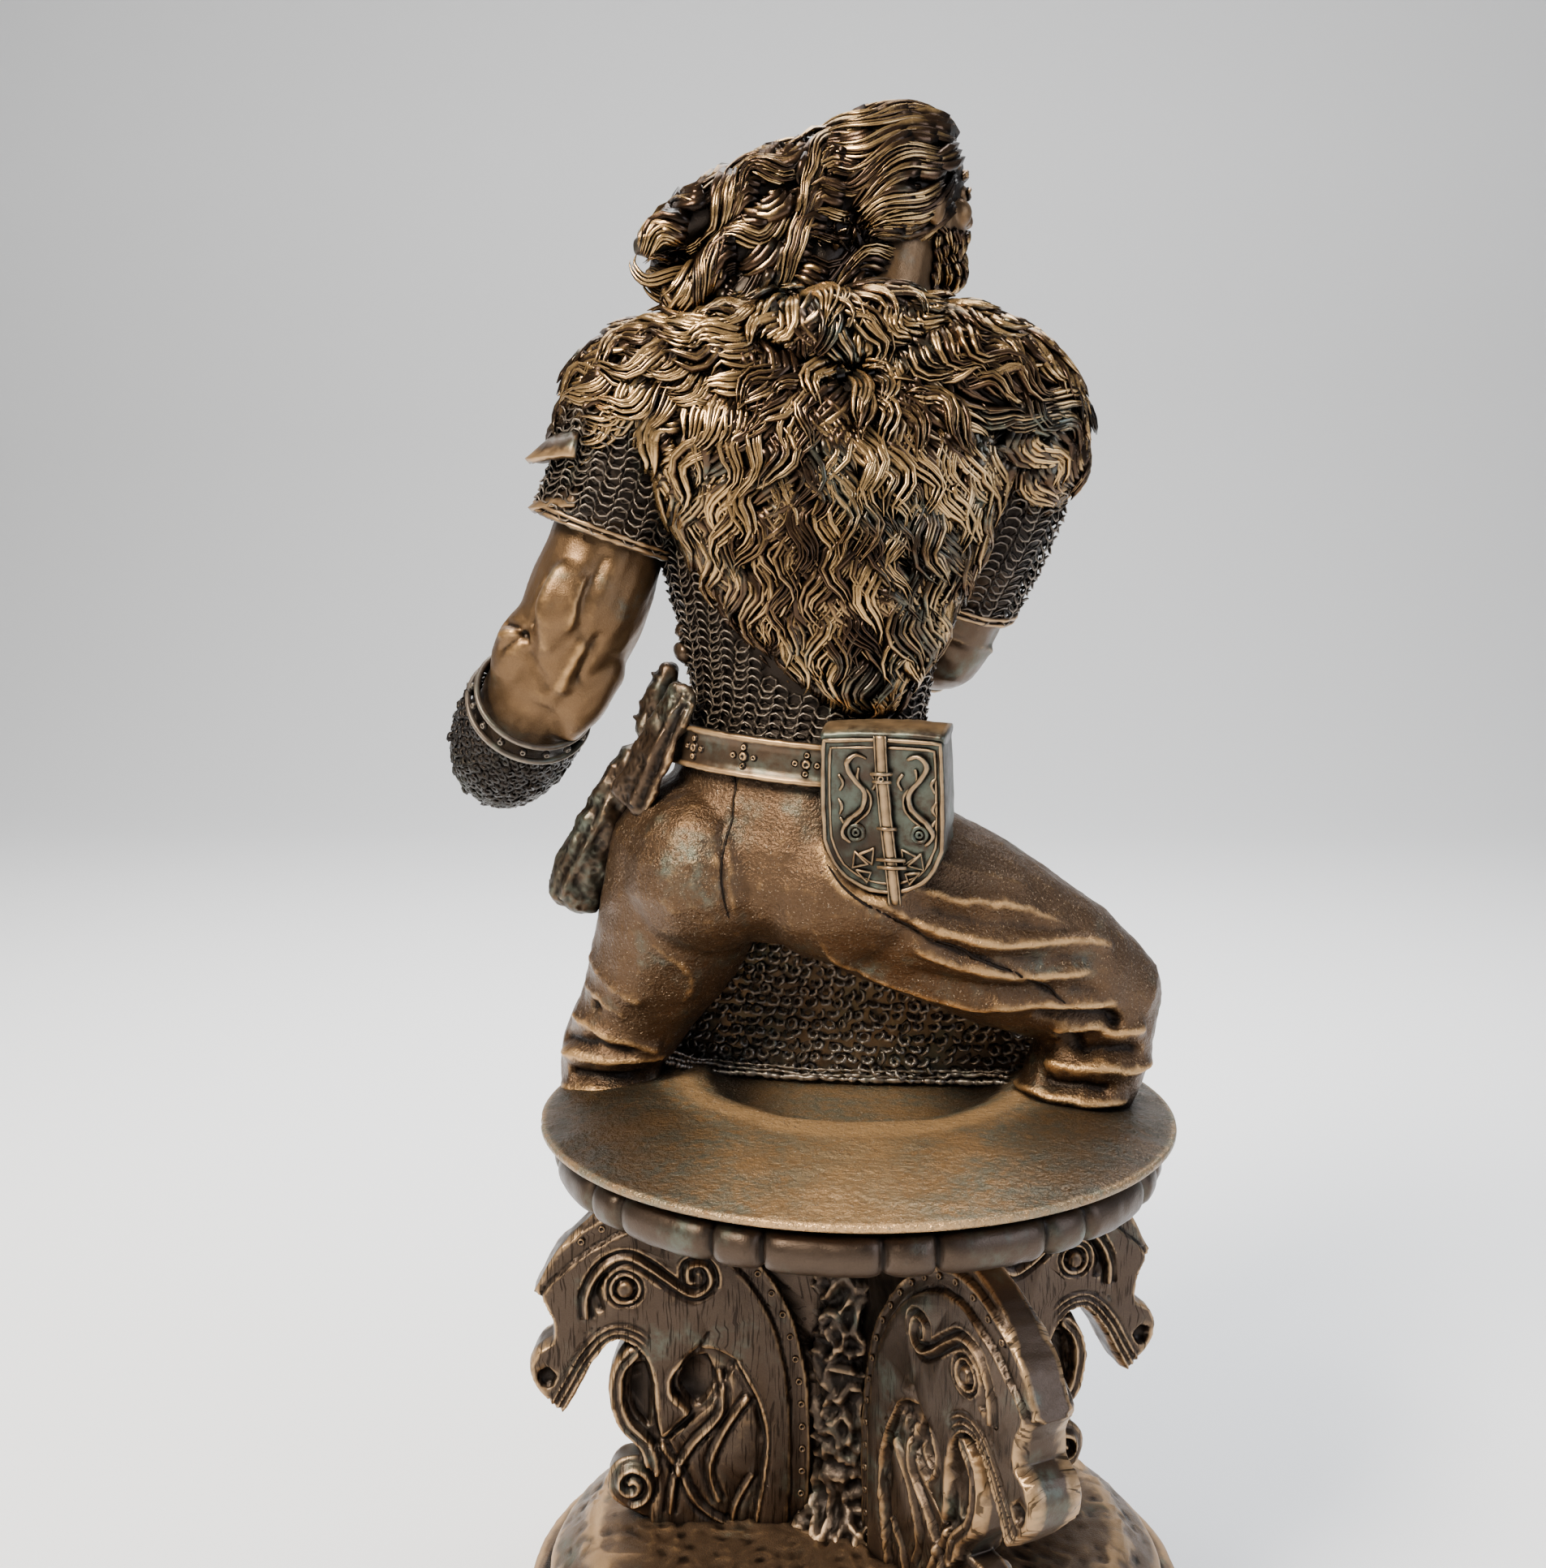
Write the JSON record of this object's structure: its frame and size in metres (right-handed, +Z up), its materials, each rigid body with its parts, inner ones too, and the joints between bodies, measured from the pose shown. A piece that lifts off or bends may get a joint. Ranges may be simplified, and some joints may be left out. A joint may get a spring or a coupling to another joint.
{
  "type": "statue of a norse god on a dragon pedestal",
  "caption": "Bronze-finished statue of a fur-clad Norse god seen to the knees, on a round pedestal with carved dragon brackets.",
  "frame": {"origin": "centre of the pedestal's flat underside", "axes": "+Z up; the figure's chest faces -Y and his back faces +Y; his left side is on +X"},
  "size_m": [0.173, 0.15, 0.3427],
  "materials": {
    "figure": "cold-cast bronze resin, gold-brown highlights over a dark wash",
    "pedestal": "cold-cast bronze resin, gold-brown highlights over a dark wash"
  },
  "bodies": {
    "root": {"figure": "figure", "pedestal": "pedestal"}
  },
  "joints": []
}
